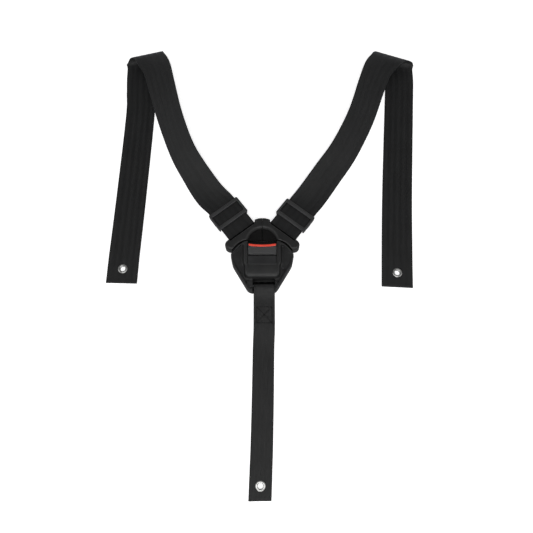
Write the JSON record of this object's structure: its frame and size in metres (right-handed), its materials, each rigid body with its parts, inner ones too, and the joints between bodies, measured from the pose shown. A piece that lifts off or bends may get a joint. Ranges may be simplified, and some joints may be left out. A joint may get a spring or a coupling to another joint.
{
  "type": "three-point safety harness",
  "caption": "Webbing safety harness with shoulder straps, sliding adjusters and a crotch strap that meet at a push-button buckle, each strap ending in an eyelet.",
  "frame": {"origin": "the buckle's flat back face, at the middle of its widest part", "axes": "+Y from the buckle towards the shoulder folds, +Z out of the buckle's front, +X to the right when looking at the front"},
  "size_m": [0.3948, 0.5675, 0.0348],
  "materials": {
    "buckle_plastic": "fine-grained black moulded plastic",
    "button_plastic": "satin charcoal moulded plastic",
    "slide_plastic": "satin black moulded plastic",
    "red_plastic": "bright red moulded plastic",
    "webbing": "tightly woven black webbing with a soft sheen",
    "thread": "bonded black sewing thread",
    "nickel": "bright nickel plate",
    "bright_steel": "bright zinc-plated steel"
  },
  "bodies": {
    "buckle": {"rear_cover": "buckle_plastic", "front_cover": "buckle_plastic", "cover_screws": "bright_steel", "crotch_bar": "bright_steel", "latch_leaf": "bright_steel", "latch_rivets": "bright_steel", "ejector_springs": "bright_steel"},
    "release_button": {"release_button": "button_plastic", "button_flash": "red_plastic"},
    "ejector": {"ejector": "buckle_plastic"},
    "left_tongue": {"left_tongue_shell": "buckle_plastic", "left_tongue_back": "buckle_plastic", "left_tongue_plate": "bright_steel", "left_webbing_pin": "bright_steel"},
    "right_tongue": {"right_tongue_shell": "buckle_plastic", "right_tongue_back": "buckle_plastic", "right_tongue_plate": "bright_steel", "right_webbing_pin": "bright_steel"},
    "left_strap": {"left_shoulder_strap": "webbing", "left_strap_back_run": "webbing", "left_strap_eyelet": "nickel", "left_eyelet_washer": "nickel"},
    "right_strap": {"right_shoulder_strap": "webbing", "right_strap_back_run": "webbing", "right_strap_eyelet": "nickel", "right_eyelet_washer": "nickel"},
    "left_adjuster": {"left_adjuster": "slide_plastic"},
    "right_adjuster": {"right_adjuster": "slide_plastic"},
    "crotch_strap": {"crotch_strap": "webbing", "crotch_stitching": "thread", "crotch_eyelet": "nickel", "crotch_eyelet_washer": "nickel"}
  },
  "joints": [
    {"name": "button_press", "type": "hinge", "parent": "buckle", "child": "release_button", "pos_m": [0, -0.0095, 0.016], "axis": [-1, 0, 0], "range_deg": [0, 8], "stiffness_Nm_per_rad": 3, "deforming": ["latch_leaf"]},
    {"name": "left_tongue_slide", "type": "slide", "parent": "buckle", "child": "left_tongue", "axis": [0, 1, 0], "range_m": [0, 0.04]},
    {"name": "right_tongue_slide", "type": "slide", "parent": "buckle", "child": "right_tongue", "axis": [0, 1, 0], "range_m": [0, 0.04]},
    {"name": "ejector_slide", "type": "slide", "parent": "buckle", "child": "ejector", "axis": [0, 1, 0], "range_m": [0, 0.005], "deforming": ["ejector_springs"]},
    {"name": "left_strap_swing", "type": "hinge", "parent": "left_tongue", "child": "left_strap", "pos_m": [-0.02103, 0.02744, 0.012], "axis": [0.7934, 0.6088, 0], "range_deg": [0, 30]},
    {"name": "right_strap_swing", "type": "hinge", "parent": "right_tongue", "child": "right_strap", "pos_m": [0.02103, 0.02744, 0.012], "axis": [0.7934, -0.6088, 0], "range_deg": [0, 30]},
    {"name": "left_adjuster_slide", "type": "slide", "parent": "left_strap", "child": "left_adjuster", "axis": [-0.6088, 0.7934, 0], "range_m": [-0.01, 0.002]},
    {"name": "right_adjuster_slide", "type": "slide", "parent": "right_strap", "child": "right_adjuster", "axis": [0.6088, 0.7934, 0], "range_m": [-0.008, 0.002]},
    {"name": "crotch_strap_swing", "type": "hinge", "parent": "buckle", "child": "crotch_strap", "pos_m": [0, -0.035, 0.0096], "axis": [-1, 0, 0], "range_deg": [0, 85]}
  ],
  "couplings": [
    {"joint": "right_tongue_slide", "follows": "left_tongue_slide", "ratio": 1},
    {"joint": "ejector_slide", "follows": "left_tongue_slide", "ratio": 0.125}
  ]
}
